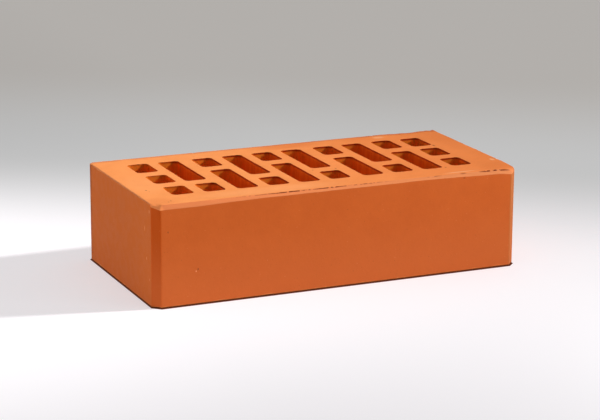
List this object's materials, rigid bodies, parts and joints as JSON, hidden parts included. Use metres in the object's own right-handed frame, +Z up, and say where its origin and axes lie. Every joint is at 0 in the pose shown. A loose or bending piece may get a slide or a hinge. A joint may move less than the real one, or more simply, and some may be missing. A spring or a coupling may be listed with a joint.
{
  "type": "clay brick",
  "caption": "Cored facing brick of fired clay, with rows of long and short through cores, a bevelled top edge and cut face corners.",
  "frame": {"origin": "centre of the lower bed face, on the level that the brick lies on", "axes": "+X along the length, +Y from the stretcher face with the bevelled top edge to the back, +Z up, from bed to bed along the cores"},
  "size_m": [0.25, 0.12, 0.065],
  "materials": {
    "fired_clay": "matte, fine-grained fired orange-red clay, smooth extruded sides and wire-cut beds"
  },
  "bodies": {
    "root": {"brick_body": "fired_clay"}
  },
  "joints": []
}
